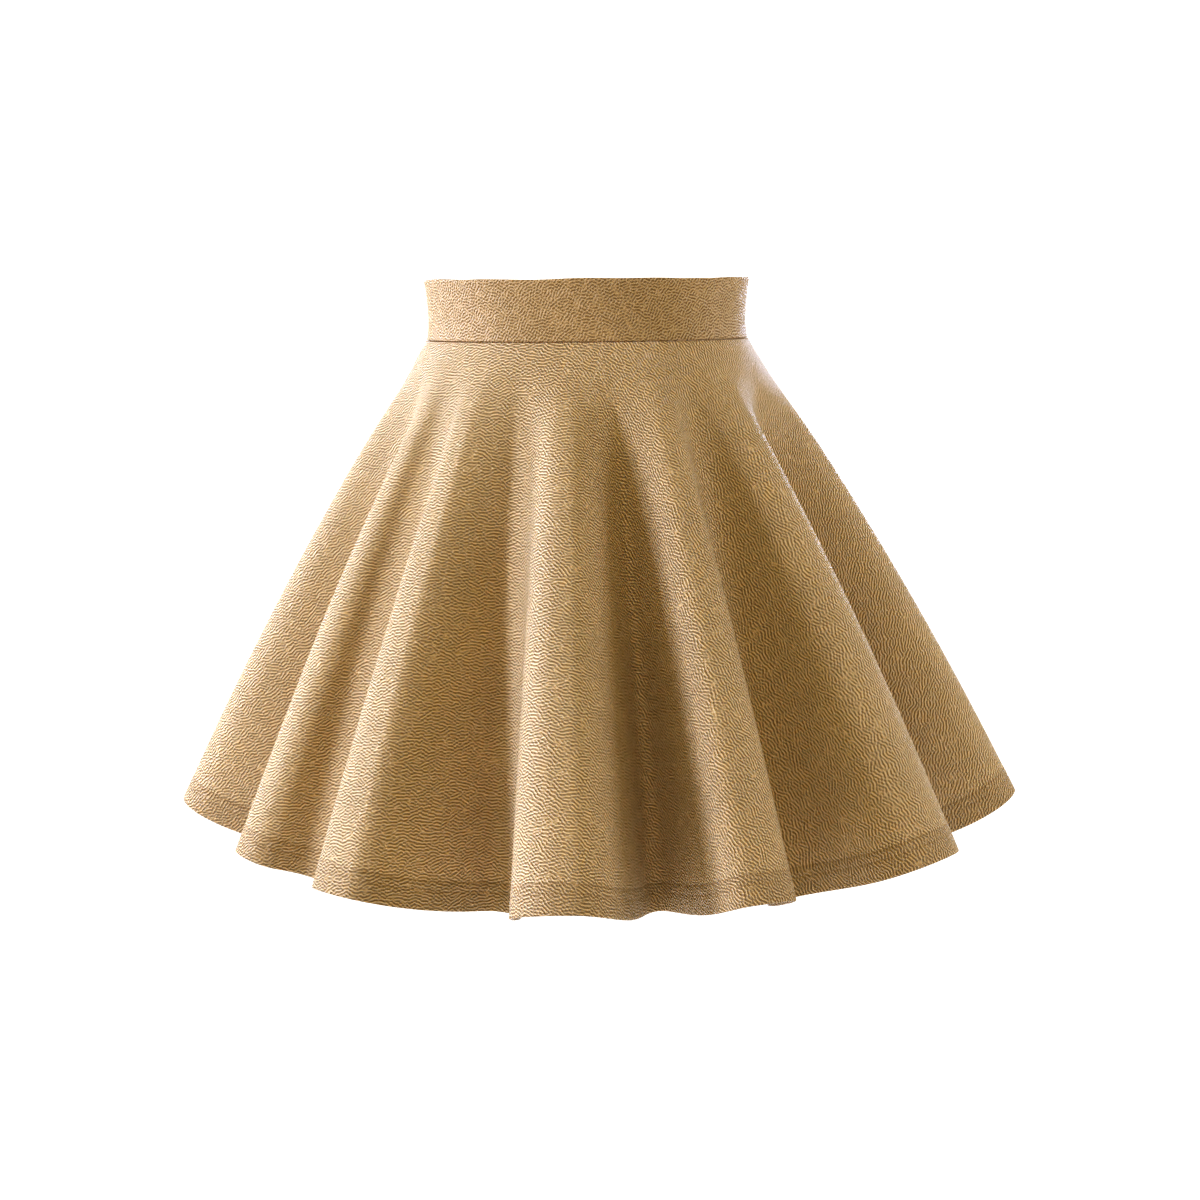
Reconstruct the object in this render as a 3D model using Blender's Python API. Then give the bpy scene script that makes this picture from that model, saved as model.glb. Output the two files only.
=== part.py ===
"""Circle skirt on an elastic waistband, worn shape, standing open with no wearer.

Units are metres, +Z is up and the wearer faces -Y.  The origin is the centre of the waist opening, half way up
the waistband.  Positions round the garment are given as a cloth fraction: 0 at the side seam on +X, a quarter
at centre front, a half at the side seam on -X and three quarters at centre back.  Positions down the skirt are
given as a level: 0 at the waist seam and 1 at the hem.
"""
from typing import NamedTuple

import bmesh
import bpy
import numpy as np

# Waist, as an ellipse through the outside of the waist seam
WAIST_HALF_WIDTH = 0.1223
WAIST_HALF_DEPTH = 0.0900

# Waistband
BAND_HEIGHT = 0.045
BAND_THICKNESS = 0.0026
BAND_STEPS = 40
TOP_FOLD_POINTS = 3
LOWER_EDGE_RADIUS = 0.0006

# Skirt: cloth length from waist seam to hem, and the ellipse that the average fold crest reaches at the hem
SKIRT_LENGTH = 0.4125
HEM_HALF_WIDTH = 0.3200
HEM_HALF_DEPTH = 0.2506
CLOTH_THICKNESS = 0.0012

# Drape: the mean reach is where the cloth would lie with its folds smoothed out, as a share of the hem
# ellipse; the bell makes it lean out more at the top than at the hem; the folds set in at the onset level
MEAN_REACH = 0.945
BELL = 0.148
FOLD_ONSET = 0.123

# Hem: turned up once on the inside
HEM_TURN_UP = 0.022
HEM_STEP_RUN = 0.0015

SEAM_GAP = 0.0003
PANEL_STEPS = 132
SKIRT_LEVELS = (0.0, 0.06, 0.15, 0.27, 0.42, 0.60, 0.80)
DROP_STEPS = 80
HALF_FOLD_POINTS = 48

CLOTH_COLOUR = (0.565, 0.402, 0.231, 1.0)
BAND_COLOUR = (0.533, 0.381, 0.216, 1.0)
CLOTH_ROUGHNESS = 0.62


class Fold(NamedTuple):
    """One organ-pipe fold at the hem: its crest and the valley that follows it, seen from above.

    Angles run from +X through the front (-Y).  A reach is a share of the hem ellipse.  A roll of 0 is a plain
    wave, 1 stands the flank upright, and more folds it back under the crest; less than 0 lays the flank
    flatter between a sharper crest and valley.
    """

    crest_deg: float
    crest_reach: float
    valley_deg: float
    valley_reach: float
    roll_into_valley: float
    roll_out_of_valley: float


FOLDS = (
    # crest_deg, crest_reach, valley_deg, valley_reach, roll_into_valley, roll_out_of_valley
    Fold(2.4, 1.04, 21.3, 0.58, 0.75, 1.00),
    Fold(42.9, 1.055, 53.1, 0.75, 0.95, 0.80),
    Fold(71.5, 1.055, 76.0, 0.63, 1.00, 0.05),
    Fold(92.2, 1.078, 110.4, 0.635, 0.80, -0.25),
    Fold(124.4, 0.945, 143.4, 0.77, 1.07, 1.12),
    Fold(153.6, 0.917, 166.0, 0.72, 0.72, 0.64),
    Fold(180.4, 1.01, 195.0, 0.57, 0.65, 1.05),
    Fold(211.0, 0.98, 226.0, 0.65, 1.05, 0.95),
    Fold(240.0, 1.03, 257.0, 0.60, 0.90, 1.10),
    Fold(272.0, 0.97, 286.0, 0.67, 1.15, 0.85),
    Fold(301.0, 1.02, 316.0, 0.62, 0.95, 1.05),
    Fold(331.0, 0.96, 346.0, 0.64, 1.05, 0.90),
)


class BandLine(NamedTuple):
    """One height of the waistband's outside: its share of the band's height and how far it stands out."""

    height_share: float
    stands_out: float


BAND_PROFILE = (
    # height_share, stands_out
    BandLine(0.04, -0.0004),
    BandLine(0.16, -0.0012),
    BandLine(0.45, -0.0014),
    BandLine(0.75, -0.0003),
    BandLine(0.97, 0.0011),
)


def clear_scene():
    """Remove every object, so that the file holds the skirt alone."""
    for scene_object in list(bpy.data.objects):
        bpy.data.objects.remove(scene_object, do_unlink=True)


def cloth_material(name, colour):
    """Return a matt cloth material."""
    material = bpy.data.materials.new(name)
    material.use_nodes = True
    shader = material.node_tree.nodes["Principled BSDF"]
    shader.inputs["Base Color"].default_value = colour
    shader.inputs["Roughness"].default_value = CLOTH_ROUGHNESS
    shader.inputs["Metallic"].default_value = 0.0
    return material


def plan_point(half_width, half_depth, angle_deg, reach):
    """Return x and y at an angle that runs from +X through -Y, on an ellipse scaled by reach."""
    angle = np.radians(angle_deg)
    return np.stack([half_width * reach * np.cos(angle), -half_depth * reach * np.sin(angle)], axis=-1)


def at_fractions(outline, fractions):
    """Return the points at given fractions of the length of a closed outline."""
    closed = np.vstack([outline, outline[:1]])
    steps = np.linalg.norm(np.diff(closed, axis=0), axis=1)
    travelled = np.concatenate([[0.0], np.cumsum(steps)])
    wanted = np.mod(fractions, 1.0) * travelled[-1]
    return np.stack([np.interp(wanted, travelled, closed[:, axis]) for axis in (0, 1)], axis=-1)


def ellipse_outline(half_width, half_depth):
    """Return a fine closed ellipse, starting at +X and running through the front."""
    angles = np.linspace(0.0, 360.0, 12 * HALF_FOLD_POINTS, endpoint=False)
    return plan_point(half_width, half_depth, angles, 1.0)


def flank_outline(start_deg, start_reach, end_deg, end_reach, roll):
    """Return the plan of the cloth between a crest and a valley, its last point left out."""
    share = np.linspace(0.0, 1.0, HALF_FOLD_POINTS, endpoint=False)
    sideways = share + roll * np.sin(2.0 * np.pi * share) / (2.0 * np.pi)
    inward = (1.0 - np.cos(np.pi * share)) / 2.0
    angles = start_deg + (end_deg - start_deg) * sideways
    reach = start_reach + (end_reach - start_reach) * inward
    return plan_point(HEM_HALF_WIDTH, HEM_HALF_DEPTH, angles, reach)


def hem_outline():
    """Return the closed wavy plan of the hem from the table of folds."""
    parts = []
    for fold, following in zip(FOLDS, FOLDS[1:] + FOLDS[:1]):
        turn = 360.0 if following is FOLDS[0] else 0.0
        parts.append(flank_outline(fold.crest_deg, fold.crest_reach,
                                   fold.valley_deg, fold.valley_reach, fold.roll_into_valley))
        parts.append(flank_outline(fold.valley_deg, fold.valley_reach,
                                   following.crest_deg + turn, following.crest_reach,
                                   fold.roll_out_of_valley))
    return np.vstack(parts)


def lean(level):
    """Return how far out the smooth cloth has come at a level, as a share of its reach at the hem."""
    return level + BELL * level * (1.0 - level)


def fold_growth(level):
    """Return how deep the folds are at a level, as a share of their depth at the hem."""
    return level * (1.0 - np.exp(-(level / FOLD_ONSET) ** 2))


def skirt_surface(fractions, levels):
    """Return the outside of the skirt as an array of points, a row for each level.

    The cloth keeps its length from waist seam to hem along every line of the flare, so a line that leans
    out further ends higher.
    """
    waist = at_fractions(ellipse_outline(WAIST_HALF_WIDTH, WAIST_HALF_DEPTH), fractions)
    smooth_hem = at_fractions(
        ellipse_outline(HEM_HALF_WIDTH * MEAN_REACH, HEM_HALF_DEPTH * MEAN_REACH), fractions)
    folded_hem = at_fractions(hem_outline(), fractions)

    fine_levels = np.linspace(0.0, 1.0, DROP_STEPS + 1)
    across = fine_levels[:, None, None]
    plan = waist + (smooth_hem - waist) * lean(across) + (folded_hem - smooth_hem) * fold_growth(across)
    outward_steps = np.linalg.norm(np.diff(plan, axis=0), axis=2)
    cloth_step = SKIRT_LENGTH / DROP_STEPS
    drops = np.sqrt(cloth_step ** 2 - outward_steps ** 2)
    heights = -BAND_HEIGHT / 2.0 - SEAM_GAP - np.vstack([np.zeros(len(fractions)), np.cumsum(drops, axis=0)])

    lines = np.dstack([plan, heights])
    points = np.empty((len(levels), len(fractions), 3))
    for column in range(len(fractions)):
        for axis in range(3):
            points[:, column, axis] = np.interp(levels, fine_levels, lines[:, column, axis])
    return points


def panel_levels():
    """Return the levels of a panel's rows, with two close rows where the hem's turn-up ends."""
    turn_up = 1.0 - HEM_TURN_UP / SKIRT_LENGTH
    return np.array(SKIRT_LEVELS + (turn_up - HEM_STEP_RUN / SKIRT_LENGTH, turn_up, 1.0))


def panel_walls(first_fraction, last_fraction):
    """Return the outer and inner points of one skirt panel between two side seams."""
    spacing = (last_fraction - first_fraction) / PANEL_STEPS
    fractions = first_fraction + spacing * np.arange(-1, PANEL_STEPS + 2)
    levels = panel_levels()
    points = skirt_surface(fractions, levels)
    along = points[:, 2:] - points[:, :-2]
    along /= np.linalg.norm(along, axis=2, keepdims=True)
    outer = points[:, 1:-1].copy()
    down = np.gradient(outer, levels, axis=0)
    outward = np.cross(along, down)
    outward /= np.linalg.norm(outward, axis=2, keepdims=True)
    outer[:, 0] += along[:, 0] * SEAM_GAP / 2.0
    outer[:, -1] -= along[:, -1] * SEAM_GAP / 2.0
    thickness = np.where(levels > 1.0 - (HEM_TURN_UP + HEM_STEP_RUN / 2.0) / SKIRT_LENGTH,
                         2.0 * CLOTH_THICKNESS, CLOTH_THICKNESS)
    inner = outer - outward * thickness[:, None, None]
    return outer, inner


def band_section():
    """Return the closed cross-section of the waistband as pairs of stands_out and height."""
    bottom = -BAND_HEIGHT / 2.0
    outside = [(line.stands_out, bottom + BAND_HEIGHT * line.height_share) for line in BAND_PROFILE]
    inside = [(stands_out - BAND_THICKNESS, height) for stands_out, height in reversed(outside)]
    fold_radius = BAND_THICKNESS / 2.0
    centre_out = outside[-1][0] - fold_radius
    turns = np.linspace(0.0, np.pi, TOP_FOLD_POINTS + 2)[1:-1]
    top_fold = [(centre_out + fold_radius * np.cos(turn), outside[-1][1] + fold_radius * np.sin(turn))
                for turn in turns]
    lower_edge = [(inside[-1][0] + LOWER_EDGE_RADIUS, bottom), (outside[0][0] - LOWER_EDGE_RADIUS, bottom)]
    return outside + top_fold + inside + lower_edge


def band_rings(first_fraction, last_fraction):
    """Return the waistband's section repeated from one side seam to the other."""
    fractions = np.linspace(first_fraction, last_fraction, BAND_STEPS + 1)
    outline = ellipse_outline(WAIST_HALF_WIDTH, WAIST_HALF_DEPTH)
    centres = at_fractions(outline, fractions)
    nearby = (last_fraction - first_fraction) / BAND_STEPS / 2.0
    along = at_fractions(outline, fractions + nearby) - at_fractions(outline, fractions - nearby)
    along /= np.linalg.norm(along, axis=1, keepdims=True)
    outward = np.stack([-along[:, 1], along[:, 0]], axis=1)
    outward *= np.sign(np.sum(outward * centres, axis=1, keepdims=True))
    centres[0] += along[0] * SEAM_GAP / 2.0
    centres[-1] -= along[-1] * SEAM_GAP / 2.0
    section = band_section()
    rings = np.empty((len(fractions), len(section), 3))
    for point, (stands_out, height) in enumerate(section):
        rings[:, point, :2] = centres + outward * stands_out
        rings[:, point, 2] = height
    return rings


def solid_object(name, rings, material):
    """Make one closed solid by joining closed rings of points in order and capping both ends."""
    mesh = bpy.data.meshes.new(name)
    shape = bmesh.new()
    vertex_rings = [[shape.verts.new(point) for point in ring] for ring in rings]
    ring_size = len(vertex_rings[0])
    for ring, following in zip(vertex_rings, vertex_rings[1:]):
        for point in range(ring_size):
            after = (point + 1) % ring_size
            shape.faces.new((ring[point], ring[after], following[after], following[point]))
    cap_end(shape, vertex_rings[0])
    cap_end(shape, vertex_rings[-1])
    bmesh.ops.recalc_face_normals(shape, faces=shape.faces)
    shape.to_mesh(mesh)
    shape.free()
    mesh.shade_smooth()
    mesh.set_sharp_from_angle(angle=np.radians(50.0))
    solid = bpy.data.objects.new(name, mesh)
    solid.data.materials.append(material)
    bpy.context.collection.objects.link(solid)
    return solid


def cap_end(shape, ring):
    """Close the end of a folded wall, whose ring goes down one side and back up the other."""
    low, high = 0, len(ring) - 1
    while high - low > 1:
        if high - low == 2:
            shape.faces.new((ring[low], ring[low + 1], ring[high]))
        else:
            shape.faces.new((ring[low], ring[low + 1], ring[high - 1], ring[high]))
        low += 1
        high -= 1


def make_panel(name, first_fraction, last_fraction, material):
    """Make one half-circle panel of the skirt, with its turned-up hem."""
    outer, inner = panel_walls(first_fraction, last_fraction)
    rings = np.concatenate([outer, inner[::-1]], axis=0).transpose(1, 0, 2)
    return solid_object(name, rings, material)


def make_band(name, first_fraction, last_fraction, material):
    """Make one half of the waistband."""
    return solid_object(name, band_rings(first_fraction, last_fraction), material)


def main():
    """Build the four cut pieces of the skirt."""
    clear_scene()
    crepe = cloth_material("crepe_knit", CLOTH_COLOUR)
    doubled_crepe = cloth_material("crepe_knit_band", BAND_COLOUR)
    make_panel("skirt_front", 0.0, 0.5, crepe)
    make_panel("skirt_back", 0.5, 1.0, crepe)
    make_band("waistband_front", 0.0, 0.5, doubled_crepe)
    make_band("waistband_back", 0.5, 1.0, doubled_crepe)


main()
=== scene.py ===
"""Circle skirt in crepe knit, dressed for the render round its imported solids.

Each cut piece of cloth is a thin folded shell on the form of its solid: two half-circle panels with their hem
turned up and twin-needle stitched, and two halves of a waistband folded double.  Units are metres, +Z is up
and the front faces -Y.  A place round the garment is a cloth fraction: 0 at the side seam on +X, a quarter at
centre front, a half at the side seam on -X and three quarters at centre back.
"""
import logging
from dataclasses import dataclass, field
from enum import Enum
from math import cos, pi, radians, sin

import bpy
import numpy as np
from mathutils import Matrix, Vector


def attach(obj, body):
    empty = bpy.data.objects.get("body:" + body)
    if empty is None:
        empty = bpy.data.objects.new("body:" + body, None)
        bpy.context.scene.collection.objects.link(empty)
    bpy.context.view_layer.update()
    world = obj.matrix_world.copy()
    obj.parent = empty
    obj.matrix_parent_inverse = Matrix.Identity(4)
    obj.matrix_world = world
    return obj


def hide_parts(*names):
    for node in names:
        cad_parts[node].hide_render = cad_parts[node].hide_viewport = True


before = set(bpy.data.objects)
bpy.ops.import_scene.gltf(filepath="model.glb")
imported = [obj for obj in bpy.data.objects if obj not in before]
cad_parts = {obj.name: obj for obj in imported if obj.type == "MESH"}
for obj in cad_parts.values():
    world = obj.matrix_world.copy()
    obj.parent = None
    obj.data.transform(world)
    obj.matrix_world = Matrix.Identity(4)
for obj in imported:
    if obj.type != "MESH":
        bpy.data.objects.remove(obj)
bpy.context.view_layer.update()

MM = 0.001
SEWN_GAP = 0.05 * MM  # half of what is left between two pieces where they are sewn, so that they never cross
TURN_UP = 22.0 * MM  # depth of the hem that is turned up inside
FLAT_MIDDLE = (0.56, 0.56)  # moves the flat cut clear of zero in the UV map
WHITE_SEEN = 1.02  # strength at which the floor and the surroundings are seen as white

logging.basicConfig(level=logging.INFO, format="%(message)s")
log = logging.getLogger("skirt")


# ---------------------------------------------------------------- small tools

def linear(hex_colour: str) -> tuple[float, float, float, float]:
    """Turn an sRGB hex colour into linear light.

    Args:
        hex_colour: Six hex digits, such as "C8A878".

    Returns:
        Red, green, blue and an alpha of one.
    """
    shares = [int(hex_colour[start:start + 2], 16) / 255.0 for start in (0, 2, 4)]
    light = [share / 12.92 if share <= 0.04045 else ((share + 0.055) / 1.055) ** 2.4 for share in shares]
    return (light[0], light[1], light[2], 1.0)


def add_node(tree: bpy.types.NodeTree, kind: str, settings: dict | None = None,
             inputs: dict | None = None) -> bpy.types.Node:
    """Add a node with its settings, values and links.

    Args:
        tree: The node tree that takes the node.
        kind: The node's type, such as "ShaderNodeMath".
        settings: Attributes of the node, by name.
        inputs: For each input, by name or number, a socket to link from or a plain value.

    Returns:
        The new node.
    """
    node = tree.nodes.new(kind)
    for name, value in (settings or {}).items():
        setattr(node, name, value)
    for key, value in (inputs or {}).items():
        if isinstance(value, bpy.types.NodeSocket):
            tree.links.new(value, node.inputs[key])
        else:
            node.inputs[key].default_value = value
    return node


def deselect_all() -> None:
    """Deselect everything, so that an operator acts on nothing by accident."""
    if bpy.context.object is not None and bpy.context.object.mode != "OBJECT":
        bpy.ops.object.mode_set(mode="OBJECT")
    bpy.ops.object.select_all(action="DESELECT")


def select_only(piece: bpy.types.Object) -> None:
    """Select one piece and make it active."""
    deselect_all()
    piece.select_set(True)
    bpy.context.view_layer.objects.active = piece


def unit(vectors: np.ndarray) -> np.ndarray:
    """Return vectors scaled to a length of one."""
    return vectors / np.maximum(np.linalg.norm(vectors, axis=-1, keepdims=True), 1e-12)


def smooth_step(low: float, high: float, values: np.ndarray) -> np.ndarray:
    """Return 0 below low, 1 above high and a soft ramp between."""
    share = np.clip((values - low) / (high - low), 0.0, 1.0)
    return share * share * (3.0 - 2.0 * share)


# ---------------------------------------------------------------- the drape

@dataclass(frozen=True)
class Fold:
    """One organ-pipe fold at the hem, its crest and the valley after it, seen from above."""

    crest_deg: float
    crest_reach: float
    valley_deg: float
    valley_reach: float
    roll_into_valley: float
    roll_out_of_valley: float


@dataclass(frozen=True)
class SoftCrease:
    """A soft ridge or trough that runs down the cloth.

    Attributes:
        fraction: Where it starts round the garment.
        drift: How far its lower end has moved round, as a fraction.
        top: Cloth distance below the waist seam where it starts, in metres.
        bottom: Cloth distance below the waist seam where it ends, in metres.
        width: Half its width, in metres of cloth.
        height: How far it stands out, in metres; a trough is negative.
    """

    fraction: float
    drift: float
    top: float
    bottom: float
    width: float
    height: float


FOLDS = (
    # crest_deg, crest_reach, valley_deg, valley_reach, roll_into_valley, roll_out_of_valley
    Fold(2.4, 1.04, 21.3, 0.58, 0.75, 1.00),
    Fold(42.9, 1.055, 53.1, 0.75, 0.95, 0.80),
    Fold(71.5, 1.055, 76.0, 0.63, 1.00, 0.05),
    Fold(92.2, 1.078, 110.4, 0.635, 0.80, -0.25),
    Fold(124.4, 0.945, 143.4, 0.77, 1.07, 1.12),
    Fold(153.6, 0.917, 166.0, 0.72, 0.72, 0.64),
    Fold(180.4, 1.01, 195.0, 0.57, 0.65, 1.05),
    Fold(211.0, 0.98, 226.0, 0.65, 1.05, 0.95),
    Fold(240.0, 1.03, 257.0, 0.60, 0.90, 1.10),
    Fold(272.0, 0.97, 286.0, 0.67, 1.15, 0.85),
    Fold(301.0, 1.02, 316.0, 0.62, 0.95, 1.05),
    Fold(331.0, 0.96, 346.0, 0.64, 1.05, 0.90),
)

CREASES = (
    # fraction, drift, top, bottom, width, height
    SoftCrease(0.060, 0.004, 0.030, 0.300, 0.012, 0.0006),
    SoftCrease(0.105, 0.006, 0.110, 0.360, 0.016, 0.0008),
    SoftCrease(0.152, 0.003, 0.050, 0.240, 0.010, -0.0005),
    SoftCrease(0.187, 0.002, 0.140, 0.390, 0.014, 0.0006),
    SoftCrease(0.238, 0.000, 0.060, 0.280, 0.011, -0.0006),
    SoftCrease(0.281, -0.003, 0.120, 0.370, 0.015, 0.0008),
    SoftCrease(0.322, -0.004, 0.050, 0.260, 0.012, 0.0006),
    SoftCrease(0.371, -0.002, 0.150, 0.380, 0.013, -0.0006),
    SoftCrease(0.418, -0.005, 0.060, 0.320, 0.014, 0.0008),
    SoftCrease(0.456, -0.003, 0.040, 0.250, 0.011, -0.0005),
    SoftCrease(0.541, 0.004, 0.050, 0.300, 0.013, 0.0007),
    SoftCrease(0.588, 0.003, 0.120, 0.370, 0.015, -0.0007),
    SoftCrease(0.632, 0.002, 0.040, 0.260, 0.012, 0.0008),
    SoftCrease(0.683, -0.002, 0.130, 0.380, 0.014, 0.0006),
    SoftCrease(0.729, 0.000, 0.060, 0.300, 0.012, -0.0006),
    SoftCrease(0.774, -0.004, 0.110, 0.360, 0.016, 0.0008),
    SoftCrease(0.826, -0.003, 0.050, 0.270, 0.011, 0.0006),
    SoftCrease(0.881, -0.002, 0.140, 0.390, 0.013, -0.0007),
    SoftCrease(0.930, -0.004, 0.040, 0.310, 0.013, 0.0007),
)


@dataclass(frozen=True)
class Drape:
    """How the flat circle hangs from the waist: the sizes and the formulas that the solids follow too."""

    waist_half_width: float = 0.1223
    waist_half_depth: float = 0.0900
    band_height: float = 0.045
    seam_gap: float = 0.0003
    skirt_length: float = 0.4125
    hem_half_width: float = 0.3200
    hem_half_depth: float = 0.2506
    mean_reach: float = 0.945
    bell: float = 0.148
    fold_onset: float = 0.123
    drop_steps: int = 165
    half_fold_points: int = 160
    folds: tuple[Fold, ...] = FOLDS
    creases: tuple[SoftCrease, ...] = CREASES

    def ring(self, half_width: float, half_depth: float, angle_deg: np.ndarray,
             reach: np.ndarray | float) -> np.ndarray:
        """Return x and y at angles that run from +X through -Y, on an ellipse scaled by reach."""
        angle = np.radians(angle_deg)
        return np.stack([half_width * reach * np.cos(angle), -half_depth * reach * np.sin(angle)], axis=-1)

    def ellipse(self, half_width: float, half_depth: float) -> np.ndarray:
        """Return a fine closed ellipse that starts at +X and runs through the front."""
        angles = np.linspace(0.0, 360.0, 12 * self.half_fold_points, endpoint=False)
        return self.ring(half_width, half_depth, angles, 1.0)

    def flank(self, start: tuple[float, float], end: tuple[float, float], roll: float) -> np.ndarray:
        """Return the plan of the cloth between a crest and a valley, its last point left out.

        Args:
            start: Angle and reach where the flank starts.
            end: Angle and reach where it ends.
            roll: 0 for a plain wave, 1 for an upright flank, more for one that folds back.

        Returns:
            Points in plan, in metres.
        """
        share = np.linspace(0.0, 1.0, self.half_fold_points, endpoint=False)
        sideways = share + roll * np.sin(2.0 * pi * share) / (2.0 * pi)
        inward = (1.0 - np.cos(pi * share)) / 2.0
        return self.ring(self.hem_half_width, self.hem_half_depth,
                         start[0] + (end[0] - start[0]) * sideways,
                         start[1] + (end[1] - start[1]) * inward)

    def hem(self) -> np.ndarray:
        """Return the closed wavy plan of the hem."""
        parts = []
        for fold, following in zip(self.folds, self.folds[1:] + self.folds[:1]):
            turn = 360.0 if following is self.folds[0] else 0.0
            valley = (fold.valley_deg, fold.valley_reach)
            next_crest = (following.crest_deg + turn, following.crest_reach)
            parts.append(self.flank((fold.crest_deg, fold.crest_reach), valley, fold.roll_into_valley))
            parts.append(self.flank(valley, next_crest, fold.roll_out_of_valley))
        return np.vstack(parts)

    def at_fractions(self, outline: np.ndarray, fractions: np.ndarray) -> np.ndarray:
        """Return the points at given fractions of the length of a closed outline."""
        closed = np.vstack([outline, outline[:1]])
        steps = np.linalg.norm(np.diff(closed, axis=0), axis=1)
        travelled = np.concatenate([[0.0], np.cumsum(steps)])
        wanted = np.mod(fractions, 1.0) * travelled[-1]
        return np.stack([np.interp(wanted, travelled, closed[:, axis]) for axis in (0, 1)], axis=-1)

    def relief(self, fractions: np.ndarray, downs: np.ndarray) -> np.ndarray:
        """Return how far the soft creases push the cloth out, a row for each distance down."""
        level = downs[:, None] / self.skirt_length
        round_m = 2.0 * pi * (self.flat_radius + downs[:, None])
        height = np.zeros((len(downs), len(fractions)))
        for crease in self.creases:
            centre = crease.fraction + crease.drift * level
            away = (np.mod(fractions[None, :] - centre + 0.5, 1.0) - 0.5) * round_m
            span = crease.bottom - crease.top
            grows = smooth_step(crease.top, crease.top + 0.4 * span, downs[:, None])
            fades = 1.0 - smooth_step(crease.bottom - 0.4 * span, crease.bottom, downs[:, None])
            height += crease.height * np.exp(-(away / crease.width) ** 2) * grows * fades
        return height

    @property
    def flat_radius(self) -> float:
        """Radius of the waist hole in the flat cut, in metres."""
        return ((self.waist_half_width ** 2 + self.waist_half_depth ** 2) / 2.0) ** 0.5

    def surface(self, fractions: np.ndarray, downs: np.ndarray) -> np.ndarray:
        """Return the outside of the skirt.

        Args:
            fractions: Places round the garment.
            downs: Cloth distances below the waist seam, in metres.

        Returns:
            Points, a row for each distance and a column for each fraction.
        """
        waist = self.at_fractions(self.ellipse(self.waist_half_width, self.waist_half_depth), fractions)
        smooth_hem = self.at_fractions(self.ellipse(self.hem_half_width * self.mean_reach,
                                                    self.hem_half_depth * self.mean_reach), fractions)
        folded_hem = self.at_fractions(self.hem(), fractions)
        level = np.linspace(0.0, 1.0, self.drop_steps + 1)[:, None, None]
        lean = level + self.bell * level * (1.0 - level)
        growth = level * (1.0 - np.exp(-(level / self.fold_onset) ** 2))
        plan = waist + (smooth_hem - waist) * lean + (folded_hem - smooth_hem) * growth
        outward = np.linalg.norm(np.diff(plan, axis=0), axis=2)
        drops = np.sqrt((self.skirt_length / self.drop_steps) ** 2 - outward ** 2)
        heights = -self.band_height / 2.0 - self.seam_gap - np.vstack(
            [np.zeros(len(fractions)), np.cumsum(drops, axis=0)])
        lines = np.dstack([plan, heights])
        wanted = downs / self.skirt_length * self.drop_steps
        before = np.clip(np.floor(wanted).astype(int), 0, self.drop_steps - 1)
        share = (wanted - before)[:, None, None]
        return lines[before] * (1.0 - share) + lines[before + 1] * share


def outward_of(points: np.ndarray, downs: np.ndarray) -> tuple[np.ndarray, np.ndarray]:
    """Return the outward normals of a skirt grid and its directions round the garment."""
    down = np.gradient(points, downs, axis=0)
    along = np.gradient(points, axis=1)
    return unit(np.cross(along, down)), unit(along)


# ---------------------------------------------------------------- finishes

class Ply(Enum):
    """How many layers of cloth a place has; a double place is painted with the shade of two plies, which let less
    light through.
    """

    SINGLE = "single"
    DOUBLE = "double"


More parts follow.
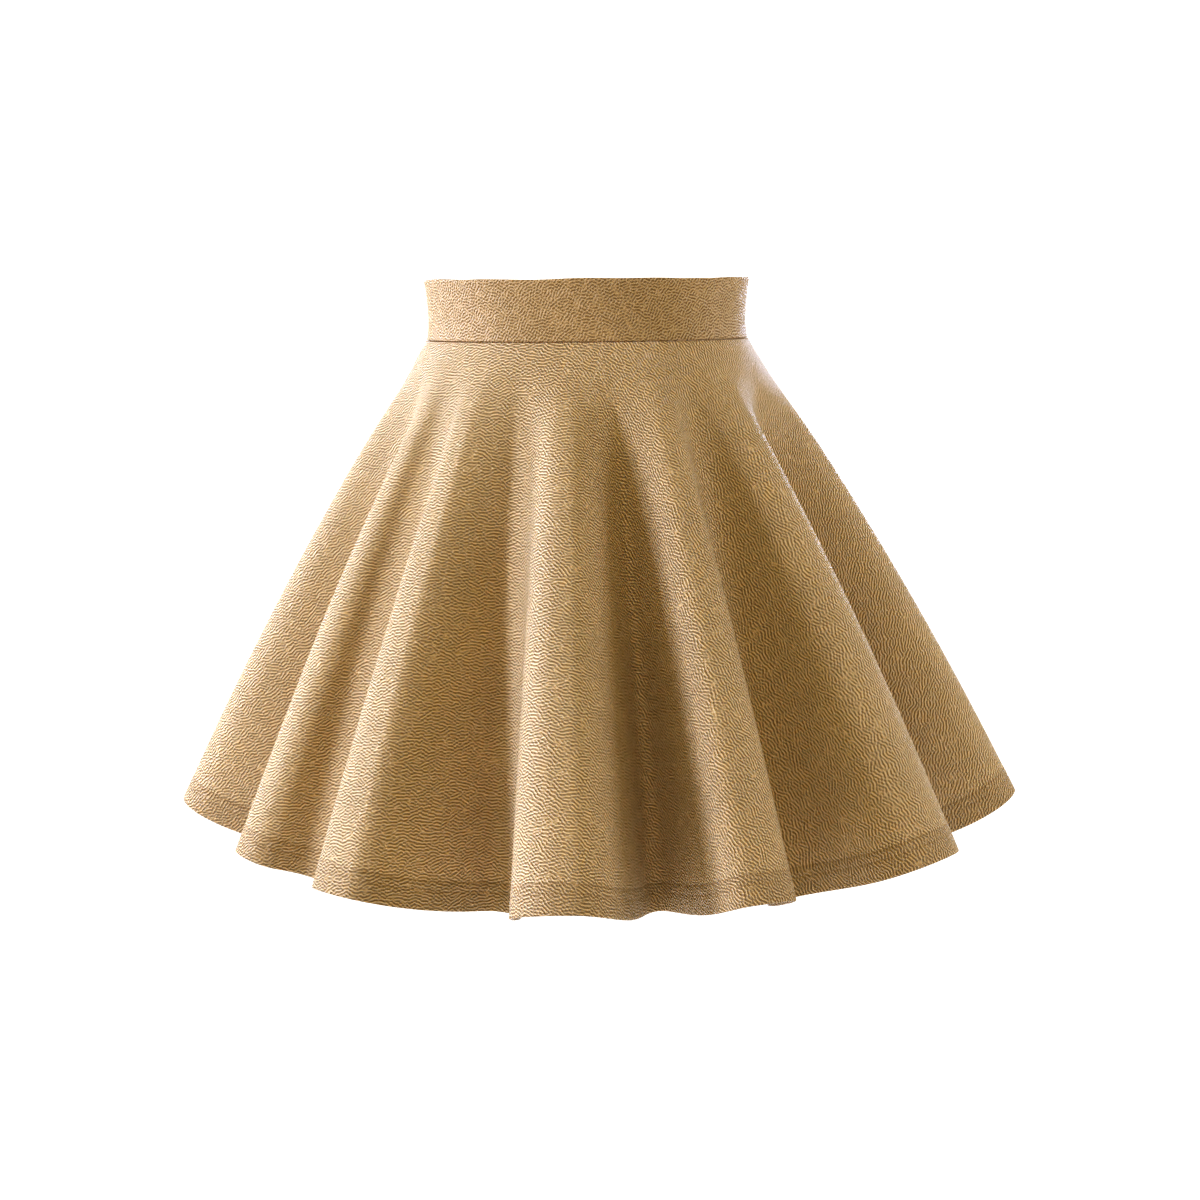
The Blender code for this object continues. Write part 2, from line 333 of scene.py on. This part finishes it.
@dataclass(frozen=True)
class CrepeKnit:
    """Polyester and elastane crepe knit, heat-crimped: it gives the eye fine wandering ridges with a satin edge.

    Attributes:
        name: Name of the material.
        ridge: Colour of the ridge tops, made lighter as painted light.
        groove: Colour between the ridges, made darker as painted shade in the grooves.
        double_ply_shade: Painted shade where the cloth lies double, a darker tint for the light that two plies keep
            back.
        spacing: Distance from ridge to ridge, in metres.
        slant_deg: Angle of the ridges in the flat cut.
        order: 1 for parallel ridges, 0 for ridges that run every way.
        relief: Height of a ridge, in metres.
        double_from: Flat radius past which the cloth is double.
        ply: Whether the cloth is double all over.
    """

    name: str
    # ridge and groove are painted light and shade: lighter ridge tops, darker grooves where shade falls between the
    # ridges
    ridge: str = "DCBB8C"
    groove: str = "9D7942"
    double_ply_shade: str = "F0ECE6"
    spacing: float = 2.3 * MM
    slant_deg: float = -29.0
    order: float = 0.60
    relief: float = 3.4 * MM
    double_from: float = 0.0
    ply: Ply = Ply.SINGLE

    def material(self) -> bpy.types.Material:
        """Build the cloth's node material and return it."""
        material = bpy.data.materials.new(self.name)
        material.use_nodes = True
        tree = material.node_tree
        shader = tree.nodes["Principled BSDF"]
        flat = add_node(tree, "ShaderNodeUVMap", {"uv_map": "flat_cut"}).outputs["UV"]
        height = self.ridges(tree, flat)
        colour = self.colour(tree, flat, height)
        tree.links.new(colour, shader.inputs["Base Color"])
        bump = add_node(tree, "ShaderNodeBump", None,
                        {"Height": height, "Distance": self.relief, "Strength": 1.0})
        tree.links.new(bump.outputs["Normal"], shader.inputs["Normal"])
        satin = add_node(tree, "ShaderNodeMapRange", None, {"Value": height, "To Min": 0.80, "To Max": 0.52})
        tree.links.new(satin.outputs[0], shader.inputs["Roughness"])
        shader.inputs["Specular IOR Level"].default_value = 0.40
        shader.inputs["Sheen Weight"].default_value = 0.15
        shader.inputs["Sheen Roughness"].default_value = 0.45
        shader.inputs["Sheen Tint"].default_value = (1.0, 0.95, 0.86, 1.0)
        shader.inputs["Subsurface Weight"].default_value = 0.16
        shader.inputs["Subsurface Radius"].default_value = (1.0, 0.62, 0.30)
        shader.inputs["Subsurface Scale"].default_value = 2.5 * MM
        return material

    def noise(self, tree: bpy.types.NodeTree, where: bpy.types.NodeSocket, size: float,
              detail: float = 1.0) -> bpy.types.NodeSocket:
        """Add smooth noise, from 0 to 1, whose blotches have a given size in metres."""
        return add_node(tree, "ShaderNodeTexNoise", {"noise_dimensions": "2D"},
                        {"Vector": where, "Scale": 1.0 / size, "Detail": detail, "Roughness": 0.5}).outputs["Fac"]

    def ridges(self, tree: bpy.types.NodeTree, flat: bpy.types.NodeSocket) -> bpy.types.NodeSocket:
        """Add the height of the ridges, from 0 to 1: crimped bands that wander, fork and run out."""
        cell = 2.8 * self.spacing
        crimp = add_node(tree, "ShaderNodeTexGabor", {"gabor_type": "2D"},
                         {"Vector": flat, "Scale": 1.0 / cell, "Frequency": cell / self.spacing,
                          "Anisotropy": self.order, 4: radians(90.0 + self.slant_deg)}).outputs["Value"]
        crisp = add_node(tree, "ShaderNodeMapRange", {"interpolation_type": "SMOOTHSTEP"},
                         {"Value": crimp, "From Min": 0.30, "From Max": 0.60})
        yarn = self.noise(tree, flat, 0.9 * MM, 1.0)
        return add_node(tree, "ShaderNodeMath", {"operation": "MULTIPLY_ADD"},
                        {0: yarn, 1: 0.10, 2: crisp.outputs[0]}).outputs[0]

    def colour(self, tree: bpy.types.NodeTree, flat: bpy.types.NodeSocket,
               height: bpy.types.NodeSocket) -> bpy.types.NodeSocket:
        """Add the cloth's colour: painted shade in the grooves against painted light on the ridge tops, faint
        blotches, and painted shade where it is double.
        """
        # painted light and shade: the ridge height blends from the darker groove colour to the lighter ridge colour
        tone = add_node(tree, "ShaderNodeMix", {"data_type": "RGBA"},
                        {"Factor": height, 6: linear(self.groove), 7: linear(self.ridge)})
        blotch = self.noise(tree, flat, 60.0 * MM, 2.0)
        even = add_node(tree, "ShaderNodeMapRange", None,
                        {"Value": blotch, "From Min": 0.3, "From Max": 0.7, "To Min": 0.965, "To Max": 1.03})
        varied = add_node(tree, "ShaderNodeVectorMath", {"operation": "SCALE"},
                          {0: tone.outputs[2], "Scale": even.outputs[0]})
        if self.ply is Ply.DOUBLE:
            share = 1.0
        else:
            from_middle = add_node(tree, "ShaderNodeVectorMath", {"operation": "SUBTRACT"},
                                   {0: flat, 1: (FLAT_MIDDLE[0], FLAT_MIDDLE[1], 0.0)})
            radius = add_node(tree, "ShaderNodeVectorMath", {"operation": "LENGTH"}, {0: from_middle.outputs[0]})
            share = add_node(tree, "ShaderNodeMapRange", None,
                             {"Value": radius.outputs["Value"], "From Min": self.double_from - 0.8 * MM,
                              "From Max": self.double_from + 0.8 * MM}).outputs[0]
        # painted shade: where the cloth lies double, its colour is multiplied by the darker double-ply tint
        double_shaded = add_node(tree, "ShaderNodeMix", {"data_type": "RGBA", "blend_type": "MULTIPLY"},
                        {"Factor": share, 6: varied.outputs[0], 7: linear(self.double_ply_shade)})
        return double_shaded.outputs[2]


@dataclass(frozen=True)
class SewingThread:
    """Spun polyester thread dyed to match, with a slight gloss that picks the stitches out of their groove."""

    name: str = "spun_polyester_thread"
    colour: str = "B08A58"

    def material(self) -> bpy.types.Material:
        """Build the thread's node material and return it."""
        material = bpy.data.materials.new(self.name)
        material.use_nodes = True
        tree = material.node_tree
        shader = tree.nodes["Principled BSDF"]
        where = add_node(tree, "ShaderNodeTexCoord").outputs["Object"]
        fibre = add_node(tree, "ShaderNodeTexNoise", None,
                         {"Vector": where, "Scale": 1.0 / (0.5 * MM), "Detail": 1.0})
        tone = add_node(tree, "ShaderNodeMix", {"data_type": "RGBA"},
                        {"Factor": fibre.outputs["Fac"], 6: linear("97733F"), 7: linear(self.colour)})
        tree.links.new(tone.outputs[2], shader.inputs["Base Color"])
        shader.inputs["Roughness"].default_value = 0.5
        shader.inputs["Sheen Weight"].default_value = 0.2
        return material


# ---------------------------------------------------------------- cloth shells

def shell_of_paths(name: str, outer: np.ndarray, hidden: np.ndarray, flat: np.ndarray) -> bpy.types.Object:
    """Make one closed shell of folded cloth.

    Args:
        name: Name of the piece.
        outer: Points of one face of the cloth, a row for each step of the path and a column for each place
            round the garment.
        hidden: Points of its other face, in the same order.
        flat: Place of each point in the flat cut.

    Returns:
        The new object, with its cut as the UV map flat_cut.
    """
    steps, columns = outer.shape[:2]
    points = np.concatenate([outer, hidden[::-1]], axis=0)
    cut = np.concatenate([flat, flat[::-1]], axis=0)
    ring = 2 * steps
    index = np.arange(ring * columns).reshape(ring, columns)
    following = np.roll(index, -1, axis=0)
    walls = np.stack([index[:, :-1], following[:, :-1], following[:, 1:], index[:, 1:]], axis=-1).reshape(-1, 4)
    low = np.arange(steps - 1)
    high = ring - 1 - low
    first = np.stack([index[low, 0], index[high, 0], index[high - 1, 0], index[low + 1, 0]], axis=-1)
    last = np.stack([index[low, -1], index[low + 1, -1], index[high - 1, -1], index[high, -1]], axis=-1)
    faces = np.concatenate([walls, first, last])

    mesh = bpy.data.meshes.new(name)
    mesh.from_pydata(points.reshape(-1, 3).tolist(), [], faces.tolist())
    corner_points = np.empty(len(mesh.loops), dtype=np.int64)
    mesh.loops.foreach_get("vertex_index", corner_points)
    layer = mesh.uv_layers.new(name="flat_cut")
    layer.data.foreach_set("uv", (cut.reshape(-1, 2)[corner_points] + np.array(FLAT_MIDDLE)).ravel())
    mesh.validate()
    piece = bpy.data.objects.new(name, mesh)
    bpy.context.collection.objects.link(piece)
    select_only(piece)
    bpy.ops.object.mode_set(mode="EDIT")
    bpy.ops.mesh.select_all(action="SELECT")
    bpy.ops.mesh.normals_make_consistent(inside=False)
    bpy.ops.object.mode_set(mode="OBJECT")
    bpy.ops.object.shade_smooth_by_angle(angle=radians(60.0))
    deselect_all()
    return piece


@dataclass
class SkirtPanel:
    """One half-circle of crepe knit from side seam to side seam, its hem turned up once inside.

    Attributes:
        name: Name of the piece.
        node: Name of the solid that it replaces.
        first_fraction: Side seam where it starts.
        last_fraction: Side seam where it ends.
        drape: How the cloth hangs.
        columns: Columns of points round the garment, few enough for under 200,000 triangles.
        cloth: Thickness of the knit.
        turn_up: Depth of the hem.
        ply_gap: Air between the two layers of the hem.
        seam_roll: Radius of the roll into the waist seam.
        rows: Rows of points down the skirt, apart from the close ones at the seam and the stitches.
        stitch_rows: Distances of the two rows of stitches above the hem.
        stitch_groove: How deep a row of stitches pulls the cloth in.
        side_groove: How deep a side seam pulls the cloth in.
        piece: The finished object.
    """

    name: str
    node: str
    first_fraction: float
    last_fraction: float
    drape: Drape
    columns: int = 360
    cloth: float = 1.05 * MM
    turn_up: float = TURN_UP
    ply_gap: float = 0.15 * MM
    seam_roll: float = 1.25 * MM
    rows: int = 84
    stitch_rows: tuple[float, float] = (14.2 * MM, 21.0 * MM)
    stitch_groove: float = 0.35 * MM
    side_groove: float = 0.9 * MM
    piece: bpy.types.Object | None = field(default=None)

    def downs(self) -> np.ndarray:
        """Return the cloth distances of the outside's rows, close together at the seam and the stitches."""
        length = self.drape.skirt_length
        hem_line = length - self.fold_radius
        top = np.array([-0.24, 0.05, 0.18, 0.40, 0.70, 1.05, 1.5, 2.2, 3.2, 4.6]) * MM
        body = np.linspace(6.6 * MM, length - 27.0 * MM, self.rows - 4)
        groove = np.array([-1.3, -0.75, -0.35, 0.0, 0.35, 0.75, 1.3]) * MM
        stitched = np.concatenate([length - row + groove for row in self.stitch_rows])
        rest = np.array([length - 24.4 * MM, length - 17.6 * MM, length - 11.0 * MM, length - 8.0 * MM,
                         length - 5.0 * MM, length - 2.6 * MM, hem_line])
        return np.sort(np.concatenate([top, body, stitched, rest]))

    @property
    def fold_radius(self) -> float:
        """Outer radius of the fold at the hem."""
        return self.cloth + self.ply_gap / 2.0

    def fractions(self) -> np.ndarray:
        """Return the places of the columns, close together at the side seams."""
        near = np.array([0.0, 0.00012, 0.0003, 0.0006, 0.001])
        middle = np.linspace(0.0016, 0.5 - 0.0016, self.columns - 2 * len(near))
        shares = np.concatenate([near, middle, 0.5 - near[::-1]])
        return self.first_fraction + shares * (self.last_fraction - self.first_fraction) / 0.5

    def outside(self, fractions: np.ndarray, downs: np.ndarray) -> tuple[np.ndarray, np.ndarray, np.ndarray]:
        """Return the points, normals and directions along of the right side of the cloth."""
        points = self.drape.surface(fractions, downs)
        normals, _ = outward_of(points, downs)
        lift = self.drape.relief(fractions, downs)
        edge = np.minimum(fractions - self.first_fraction, self.last_fraction - fractions)
        from_seam = edge[None, :] * 2.0 * pi * (self.drape.flat_radius + downs[:, None])
        lift -= self.side_groove * np.exp(-(from_seam / (1.1 * MM)) ** 2)
        lift += 0.25 * MM * np.exp(-((from_seam - 4.0 * MM) / (3.0 * MM)) ** 2)
        for row in self.stitch_rows:
            off = downs[:, None] - (self.drape.skirt_length - row)
            lift -= self.stitch_groove * np.exp(-(off / (0.75 * MM)) ** 2)
        inside_hem = smooth_step(self.drape.skirt_length - self.turn_up - 1.2 * MM,
                                 self.drape.skirt_length - self.turn_up + 1.8 * MM, downs[:, None])
        lift += 0.30 * MM * inside_hem
        points = points + normals * lift[:, :, None]
        normals, along = outward_of(points, downs)
        return points, normals, along

    def build(self) -> bpy.types.Object:
        """Model the panel as one strip of cloth with its hem folded up, and return it."""
        fractions, downs = self.fractions(), self.downs()
        points, normals, along = self.outside(fractions, downs)
        points[:, 0] += along[:, 0] * SEWN_GAP
        points[:, -1] -= along[:, -1] * SEWN_GAP

        rolled_in = np.where(downs < self.seam_roll,
                             self.seam_roll - np.sqrt(np.maximum(
                                 self.seam_roll ** 2 - (self.seam_roll - downs) ** 2, 0.0)), 0.0)
        outer = [points - normals * rolled_in[:, None, None]]
        hidden = [points - normals * (rolled_in + self.cloth)[:, None, None]]
        lengths = [downs]

        down_hem = unit(points[-1] - points[-2])
        base, out = points[-1], normals[-1]
        radius, inner_radius = self.fold_radius, self.ply_gap / 2.0
        for turn in np.linspace(0.0, pi, 9)[1:-1]:
            outer.append((base + down_hem * radius * np.sin(turn) - out * (radius - radius * np.cos(turn)))[None])
            hidden.append((base + down_hem * inner_radius * np.sin(turn)
                           - out * (radius - inner_radius * np.cos(turn)))[None])
            lengths.append(np.array([downs[-1] + radius * turn]))

        rising = downs[::-1]
        rising = rising[rising > self.drape.skirt_length - self.turn_up]
        rows = np.searchsorted(downs, rising)
        outer.append(points[rows] - normals[rows] * 2.0 * self.fold_radius)
        hidden.append(points[rows] - normals[rows] * (self.cloth + self.ply_gap))
        lengths.append(downs[-1] + radius * pi + (downs[-1] - rising))

        down = np.concatenate(lengths)
        angle = 2.0 * pi * (fractions - self.first_fraction)
        far = (self.drape.flat_radius + down)[:, None]
        flat = np.stack([far * np.cos(angle), -far * np.sin(angle)], axis=-1)
        self.piece = shell_of_paths(self.name, np.concatenate(outer), np.concatenate(hidden), flat)
        return self.piece

    def dress(self, cloth: bpy.types.Material) -> None:
        """Give the panel its cloth and tie it to its solid."""
        self.piece.data.materials.append(cloth)
        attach(self.piece, "root")
        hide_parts(self.node)


@dataclass
class TwinNeedleStitching:
    """Two rows of straight stitches that hold the turn-up, one short bead of thread for each stitch."""

    name: str
    panel: SkirtPanel
    pitch: float = 3.1 * MM
    length: float = 2.5 * MM
    thickness: float = 0.42 * MM
    sunk: float = 0.06 * MM
    end_margin: float = 0.0012

    def bead(self) -> tuple[np.ndarray, list[tuple[int, ...]]]:
        """Model one stitch, along X with its bulge up, and return its points and faces."""
        deselect_all()
        bpy.ops.mesh.primitive_uv_sphere_add(segments=6, ring_count=5, radius=0.5, location=(0.0, 0.0, 0.0),
                                             rotation=(0.0, radians(90.0), 0.0))
        stitch = bpy.context.object
        bpy.ops.object.transform_apply(location=True, rotation=True, scale=True)
        bpy.ops.object.mode_set(mode="EDIT")
        bpy.ops.mesh.select_all(action="SELECT")
        bpy.ops.transform.resize(value=(self.length, self.thickness, self.thickness * 0.8))
        bpy.ops.object.mode_set(mode="OBJECT")
        points = np.array([vertex.co[:] for vertex in stitch.data.vertices])
        faces = [tuple(face.vertices) for face in stitch.data.polygons]
        mesh = stitch.data
        bpy.data.objects.remove(stitch, do_unlink=True)
        bpy.data.meshes.remove(mesh)
        points[:, 2] -= self.thickness * 0.35 * (2.0 * points[:, 0] / self.length) ** 2
        return points, faces

    def build(self) -> bpy.types.Object:
        """Copy the stitch along both rows and return them as one piece."""
        bead, bead_faces = self.bead()
        panel = self.panel
        drape = panel.drape
        hem_length = 2.0 * pi * (drape.flat_radius + drape.skirt_length)
        count = int(0.5 * hem_length / self.pitch)
        share = (np.arange(count) + 0.5) / count
        span = panel.last_fraction - panel.first_fraction
        points, faces = [], []
        for row in panel.stitch_rows:
            down = drape.skirt_length - row
            downs = down + np.array([-0.35, 0.0, 0.35]) * MM
            fractions = panel.first_fraction + span * (self.end_margin + share * (1.0 - 2.0 * self.end_margin))
            side = span * 0.25 / count
            before, _, _ = panel.outside(fractions - side, downs)
            after, _, _ = panel.outside(fractions + side, downs)
            here, normals, _ = panel.outside(fractions, downs)
            along = unit(after[1] - before[1])
            up = unit(normals[1] - along * np.sum(normals[1] * along, axis=1, keepdims=True))
            across = np.cross(up, along)
            centre = here[1] + up * (self.thickness * 0.4 - self.sunk)
            axes = np.stack([along, across, up], axis=1)
            placed = np.einsum("ij,njk->nik", bead, axes) + centre[:, None, :]
            start = sum(len(block) for block in points)
            points.append(placed.reshape(-1, 3))
            for number in range(count):
                offset = start + number * len(bead)
                faces.extend(tuple(offset + corner for corner in face) for face in bead_faces)
        mesh = bpy.data.meshes.new(self.name)
        mesh.from_pydata(np.vstack(points).tolist(), [], faces)
        mesh.shade_smooth()
        piece = bpy.data.objects.new(self.name, mesh)
        bpy.context.collection.objects.link(piece)
        return piece

    def dress(self, piece: bpy.types.Object, thread: bpy.types.Material) -> None:
        """Give the stitches their thread and tie them to the part."""
        piece.data.materials.append(thread)
        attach(piece, "root")


@dataclass
class WaistbandHalf:
    """Half of the waistband: a strip folded double over elastic, both edges sewn to the skirt.

    Attributes:
        name: Name of the piece.
        node: Name of the solid that it replaces.
        first_fraction: Side seam where it starts.
        last_fraction: Side seam where it ends.
        drape: How the cloth hangs.
        columns: Columns of points round the waist.
        cloth: Thickness of the knit.
        thickness: Thickness of the folded band, with its elastic.
        edge_roll: Radius of the roll into the waist seam.
        rows: Rows of points up the band.
        side_groove: How deep a side seam pulls the cloth in.
        piece: The finished object.
    """

    name: str
    node: str
    first_fraction: float
    last_fraction: float
    drape: Drape
    columns: int = 240
    cloth: float = 1.0 * MM
    thickness: float = 2.6 * MM
    edge_roll: float = 1.1 * MM
    rows: int = 34
    side_groove: float = 0.6 * MM
    piece: bpy.types.Object | None = field(default=None)

    def stands_out(self, heights: np.ndarray) -> np.ndarray:
        """Return how far the outside stands out from the waist ellipse at each share of the height."""
        shares = np.array([0.04, 0.16, 0.45, 0.75, 0.97])
        outs = np.array([-0.4, -1.2, -1.4, -0.3, 1.1]) * MM
        return np.polyval(np.polyfit(shares, outs, 4), np.clip(heights, 0.0, 1.0))

    def path(self) -> tuple[np.ndarray, np.ndarray, np.ndarray]:
        """Return the strip's section: points of its right side, of its wrong side, and the cloth length.

        Each point is how far it stands out and its height.
        """
        bottom = -self.drape.band_height / 2.0
        radius = self.thickness / 2.0
        top = self.drape.band_height / 2.0 - radius
        low = np.array([0.03, 0.12, 0.28, 0.52, 0.80, 1.15, 1.7]) * MM
        heights = np.concatenate([bottom + low, np.linspace(bottom + 2.6 * MM, top, self.rows)])
        share = (heights - bottom) / self.drape.band_height
        outs = self.stands_out(share)
        from_bottom = heights - bottom
        rolled = np.where(from_bottom < self.edge_roll, self.edge_roll - np.sqrt(np.maximum(
            self.edge_roll ** 2 - (self.edge_roll - from_bottom) ** 2, 0.0)), 0.0)
        outer = [np.stack([outs - rolled, heights], axis=1)]
        inner = [np.stack([np.minimum(outs - self.cloth, outs - rolled - 0.2 * MM), heights], axis=1)]
        centre = outs[-1] - radius
        for turn in np.linspace(0.0, pi, 11)[1:-1]:
            aim = np.array([np.cos(turn), np.sin(turn)])
            outer.append((np.array([centre, top]) + aim * radius)[None])
            inner.append((np.array([centre, top]) + aim * (radius - self.cloth))[None])
        outer.append(np.stack([outs - self.thickness, heights], axis=1)[::-1])
        inner.append(np.stack([outs - self.thickness + self.cloth, heights], axis=1)[::-1])
        outer_path, inner_path = np.concatenate(outer), np.concatenate(inner)
        steps = np.linalg.norm(np.diff(outer_path, axis=0), axis=1)
        return outer_path, inner_path, np.concatenate([[0.0], np.cumsum(steps)])

    def build(self) -> bpy.types.Object:
        """Model the folded strip round half of the waist and return it."""
        near = np.array([0.0, 0.0007, 0.0016, 0.003, 0.005])
        middle = np.linspace(0.0085, 0.5 - 0.0085, self.columns - 2 * len(near))
        shares = np.concatenate([near, middle, 0.5 - near[::-1]])
        fractions = self.first_fraction + shares * (self.last_fraction - self.first_fraction) / 0.5
        ellipse = self.drape.ellipse(self.drape.waist_half_width, self.drape.waist_half_depth)
        centres = self.drape.at_fractions(ellipse, fractions)
        nearby = 0.002
        along = unit(self.drape.at_fractions(ellipse, fractions + nearby)
                     - self.drape.at_fractions(ellipse, fractions - nearby))
        outward = np.stack([-along[:, 1], along[:, 0]], axis=1)
        outward *= np.sign(np.sum(outward * centres, axis=1, keepdims=True))
        around = 2.0 * pi * self.drape.flat_radius
        from_seam = np.minimum(shares, 0.5 - shares) * around
        dip = -self.side_groove * np.exp(-(from_seam / (0.9 * MM)) ** 2)
        centres[0] += along[0] * SEWN_GAP
        centres[-1] -= along[-1] * SEWN_GAP

        outer_path, inner_path, cloth_length = self.path()
        sway = 0.00035 * np.sin(2.0 * pi * (fractions * 5.0 + 0.13)) + 0.00025 * np.sin(
            2.0 * pi * (fractions * 11.0 + 0.41))

        def swept(path: np.ndarray, sign: np.ndarray) -> np.ndarray:
            """Return a section path carried round the waist."""
            grid = np.empty((len(path), len(fractions), 3))
            out = path[:, 0][:, None] + dip[None, :] * sign[:, None]
            grid[:, :, :2] = centres[None] + outward[None] * out[:, :, None]
            lift = np.clip((path[:, 1][:, None] / self.drape.band_height + 0.5), 0.0, 1.0) ** 2
            grid[:, :, 2] = path[:, 1][:, None] + sway[None, :] * lift
            return grid

        steps = len(outer_path)
        outside = np.where(np.arange(steps) < steps // 2, 1.0, -0.3)
        flat_x = (shares - 0.25) * around
        flat = np.stack(np.broadcast_arrays(flat_x[None, :], cloth_length[:, None] - 0.045), axis=-1)
        self.piece = shell_of_paths(self.name, swept(outer_path, outside), swept(inner_path, outside), flat)
        return self.piece

    def dress(self, cloth: bpy.types.Material) -> None:
        """Give the band its cloth and tie it to its solid."""
        self.piece.data.materials.append(cloth)
        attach(self.piece, "root")
        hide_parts(self.node)


# ---------------------------------------------------------------- studio

@dataclass(frozen=True)
class SoftLight:
    """One studio soft box, hung on a sphere round the skirt and aimed at its middle.

    Attributes:
        name: Name of the light.
        azimuth_deg: Where it hangs, seen from above: 0 behind the camera, 90 on the right.
        elevation_deg: How high it hangs, seen from the middle of the skirt.
        side: Side of its square face, in metres; a small one casts crisper shadows.
        power: Power in watts.
        colour: Its colour.
    """

    name: str
    azimuth_deg: float
    elevation_deg: float
    side: float
    power: float
    colour: str = "C7D6FF"
    distance: float = 2.5
    middle_height: float = -0.2

    def build(self) -> bpy.types.Object:
        """Hang the soft box and return it."""
        light = bpy.data.lights.new(self.name, "AREA")
        light.size = self.side
        light.energy = self.power
        light.color = linear(self.colour)[:3]
        lamp = bpy.data.objects.new(self.name, light)
        azimuth, elevation = radians(self.azimuth_deg), radians(self.elevation_deg)
        away = Vector((sin(azimuth) * cos(elevation), -cos(azimuth) * cos(elevation), sin(elevation)))
        lamp.location = away * self.distance + Vector((0.0, 0.0, self.middle_height))
        lamp.rotation_euler = away.to_track_quat("Z", "Y").to_euler()
        bpy.context.collection.objects.link(lamp)
        return lamp


SOFT_BOXES = (
    # name, azimuth, elevation, side, power
    SoftLight("key_left", -70.0, 12.0, 0.3, 38.0),
    SoftLight("high_left", -75.0, 38.0, 0.3, 35.0),
    SoftLight("side_left", -110.0, 20.0, 0.6, 66.0),
    SoftLight("fill_front", 0.0, 12.0, 0.8, 3.0),
    SoftLight("side_right", 80.0, 20.0, 0.8, 23.0),
    SoftLight("rim_right", 115.0, 20.0, 0.8, 14.0),
    SoftLight("back_right", 150.0, 12.0, 0.8, 30.0),
    SoftLight("back_left", -150.0, 20.0, 0.8, 10.4),
)


@dataclass
class Studio:
    """Pale floor, white surroundings, soft boxes and the camera."""

    floor_height: float = -0.95
    floor_side: float = 60.0
    surround: float = 0.54
    camera_place: tuple[float, float, float] = (0.0080, -1.55, 0.0189)
    camera_down_deg: float = 8.94
    camera_roll_deg: float = -0.52
    camera_lens: float = 60.39

    def floor(self) -> None:
        """Lay the pale floor."""
        deselect_all()
        bpy.ops.mesh.primitive_plane_add(size=self.floor_side, location=(0.0, 0.0, self.floor_height))
        floor = bpy.context.object
        floor.name = "studio_floor"
        material = bpy.data.materials.new("matt_white_paper")
        material.use_nodes = True
        tree = material.node_tree
        shader = tree.nodes["Principled BSDF"]
        shader.inputs["Base Color"].default_value = linear("E8E8E8")
        shader.inputs["Roughness"].default_value = 0.9
        lit = add_node(tree, "ShaderNodeEmission", None, {"Color": (1.0, 1.0, 1.0, 1.0), "Strength": WHITE_SEEN})
        seen = add_node(tree, "ShaderNodeLightPath").outputs["Is Camera Ray"]
        mixed = add_node(tree, "ShaderNodeMixShader", None, {0: seen, 1: shader.outputs[0], 2: lit.outputs[0]})
        tree.links.new(mixed.outputs[0], tree.nodes["Material Output"].inputs["Surface"])
        floor.data.materials.append(material)

    def surroundings(self) -> None:
        """Make the surroundings: seen as white, but only a dim warm fill on the cloth."""
        world = bpy.data.worlds.new("white_studio")
        bpy.context.scene.world = world
        world.use_nodes = True
        tree = world.node_tree
        tree.nodes.clear()
        seen = add_node(tree, "ShaderNodeLightPath").outputs["Is Camera Ray"]
        dim = add_node(tree, "ShaderNodeBackground", None,
                       {"Color": (1.0, 0.89, 0.42, 1.0), "Strength": self.surround})
        white = add_node(tree, "ShaderNodeBackground", None, {"Color": (1.0, 1.0, 1.0, 1.0), "Strength": WHITE_SEEN})
        mixed = add_node(tree, "ShaderNodeMixShader", None, {0: seen, 1: dim.outputs[0], 2: white.outputs[0]})
        add_node(tree, "ShaderNodeOutputWorld", None, {"Surface": mixed.outputs[0]})

    def camera(self) -> None:
        """Set the camera just in front of the skirt, a little above its hem and level with its waist."""
        data = bpy.data.cameras.new("studio_camera")
        data.sensor_width = 36.0
        data.lens = self.camera_lens
        data.clip_end = 200.0
        camera = bpy.data.objects.new("studio_camera", data)
        tilt = Matrix.Rotation(radians(90.0 - self.camera_down_deg), 3, "X")
        roll = Matrix.Rotation(radians(self.camera_roll_deg), 3, "Z")
        camera.matrix_world = Matrix.Translation(self.camera_place) @ (tilt @ roll).to_4x4()
        bpy.context.collection.objects.link(camera)
        bpy.context.scene.camera = camera

    def build(self) -> None:
        """Set up the whole studio."""
        bpy.context.scene.view_settings.view_transform = "Standard"
        bpy.context.scene.view_settings.look = "High Contrast"
        self.floor()
        self.surroundings()
        self.camera()
        for light in SOFT_BOXES:
            light.build()


# ---------------------------------------------------------------- the skirt

def main() -> None:
    """Build the skirt piece by piece, then the studio."""
    drape = Drape()
    hem_line = drape.flat_radius + drape.skirt_length
    skirt_crepe = CrepeKnit("crimped_crepe_knit", double_from=hem_line - TURN_UP).material()
    # the band is double all over, so all of it gets the painted double-ply shade
    band_crepe = CrepeKnit("crimped_crepe_knit_stretched", ply=Ply.DOUBLE, spacing=2.2 * MM, order=0.35,
                           slant_deg=-20.0, relief=0.9 * MM, double_ply_shade="D8D2C8").material()
    thread = SewingThread().material()

    for side, first in (("front", 0.0), ("back", 0.5)):
        band = WaistbandHalf(f"waistband_{side}_cloth", f"waistband_{side}", first, first + 0.5, drape)
        band.build()
        band.dress(band_crepe)
        log.info("waistband %s: %d faces", side, len(band.piece.data.polygons))

        panel = SkirtPanel(f"skirt_{side}_cloth", f"skirt_{side}", first, first + 0.5, drape)
        panel.build()
        panel.dress(skirt_crepe)
        log.info("skirt %s: %d faces", side, len(panel.piece.data.polygons))

        stitching = TwinNeedleStitching(f"hem_stitches_{side}", panel)
        stitches = stitching.build()
        stitching.dress(stitches, thread)
        log.info("hem stitches %s: %d faces", side, len(stitches.data.polygons))

    Studio().build()
    log.info("studio ready")


if __name__ == "__main__":
    main()
